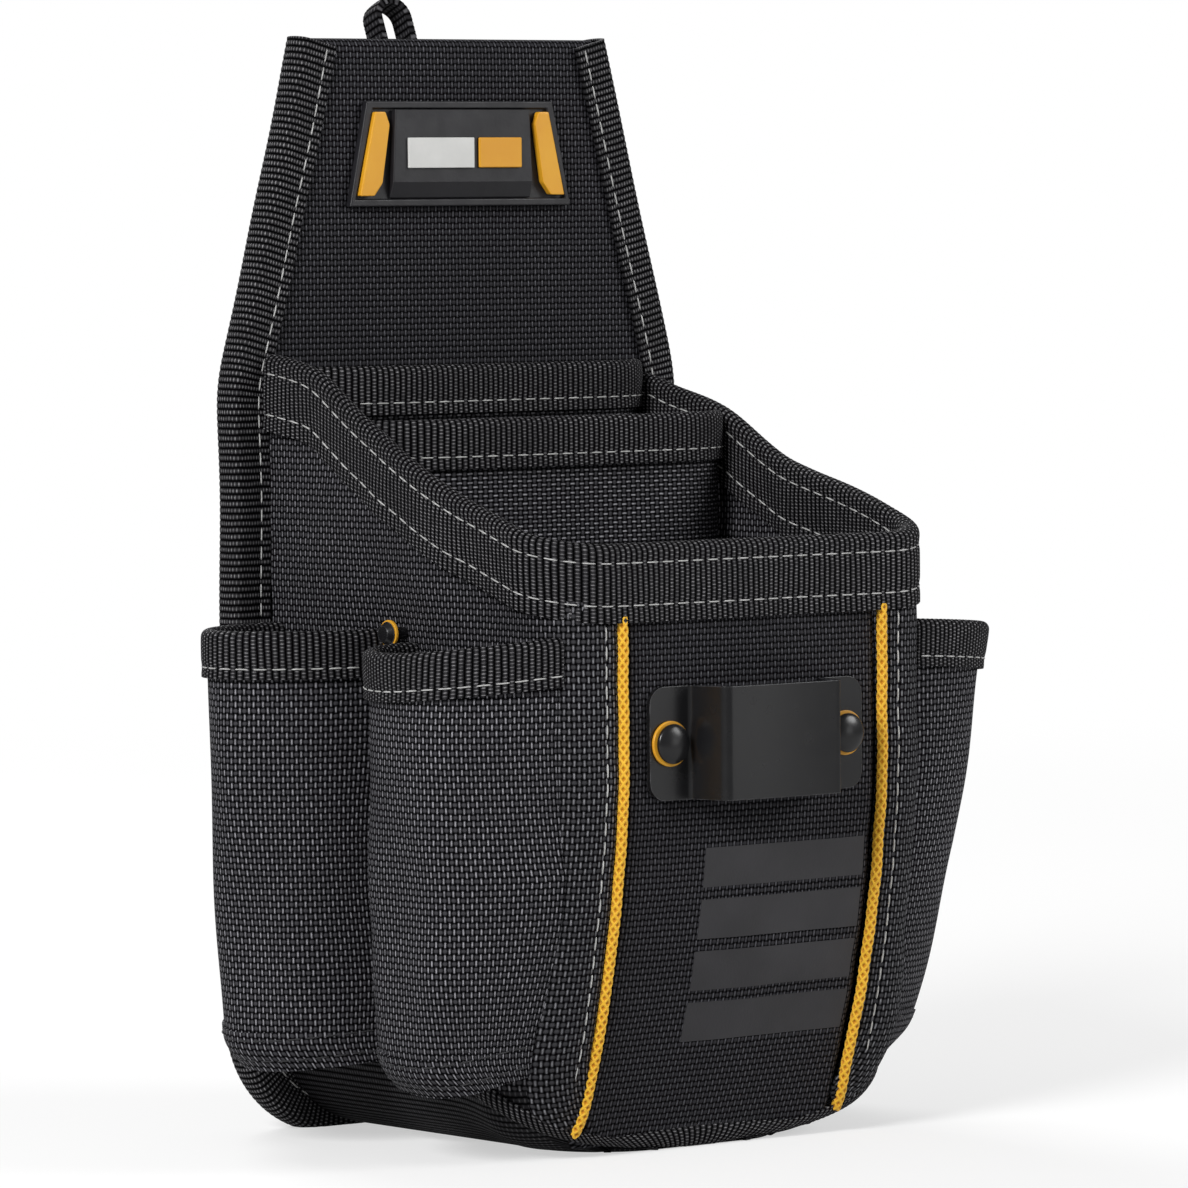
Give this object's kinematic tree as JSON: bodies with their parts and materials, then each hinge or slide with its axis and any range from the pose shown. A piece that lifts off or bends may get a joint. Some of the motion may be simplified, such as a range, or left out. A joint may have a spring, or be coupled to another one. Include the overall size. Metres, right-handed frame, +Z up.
{
  "type": "electrician tool pouch",
  "caption": "Black woven belt pouch with a tall back panel, divided open main pocket, round side sleeves, riveted tape clip, belt tunnel and a swinging hang loop.",
  "frame": {"origin": "on the floor plane, at the centre of the back panel's width, in the plane of the back panel's front face", "axes": "+Z up, -Y out of the front of the pouch, +X to the viewer's right when facing the front"},
  "size_m": [0.1864, 0.1444, 0.2791],
  "materials": {
    "nylon": "woven nylon, matte with a faint sheen",
    "coarse_nylon": "coarse basket-woven nylon",
    "tape": "ribbed woven tape",
    "webbing": "heavy woven webbing",
    "board": "plain sheet",
    "label_rubber": "soft moulded rubber",
    "label_light": "soft moulded rubber, light",
    "label_yellow": "soft moulded rubber, yellow",
    "cord": "braided cord, yellow",
    "print_ink": "smooth printed ink",
    "black_steel": "semi-gloss black coating",
    "washer_yellow": "yellow plastic",
    "plain_steel": "plain steel"
  },
  "bodies": {
    "pouch": {"back_panel": "nylon", "back_stiffener": "board", "rear_panel": "nylon", "belt_tunnel": "webbing", "edge_tape": "tape", "hang_loop_root": "webbing", "label_base": "label_rubber", "label_plate": "label_rubber", "label_light_bar": "label_light", "label_yellow_bars": "label_yellow", "rear_divider": "coarse_nylon", "rear_divider_tape": "tape", "middle_divider": "coarse_nylon", "middle_divider_tape": "tape", "left_gusset": "nylon", "right_gusset": "nylon", "left_corner_strip": "nylon", "right_corner_strip": "nylon", "front_panel": "nylon", "bottom_panel": "webbing", "collar": "tape", "front_seam_tape": "tape", "left_cord": "cord", "right_cord": "cord", "front_print": "print_ink", "tape_clip": "black_steel", "clip_rivets": "black_steel", "clip_rivet_washers": "washer_yellow", "rivet_backing_washers": "plain_steel", "left_rear_sleeve": "coarse_nylon", "left_front_sleeve": "coarse_nylon", "right_rear_sleeve": "coarse_nylon", "right_front_sleeve": "coarse_nylon", "left_rear_sleeve_tape": "tape", "left_front_sleeve_tape": "tape", "right_rear_sleeve_tape": "tape", "right_front_sleeve_tape": "tape", "side_rivets": "black_steel", "side_rivet_washers": "washer_yellow"},
    "hang_loop": {"hang_loop": "webbing"}
  },
  "joints": [
    {"name": "hang_loop_swing", "type": "hinge", "parent": "pouch", "child": "hang_loop", "pos_m": [-0.009, 0.0089, 0.256], "axis": [1, 0, 0], "range_deg": [-85, 14]}
  ]
}
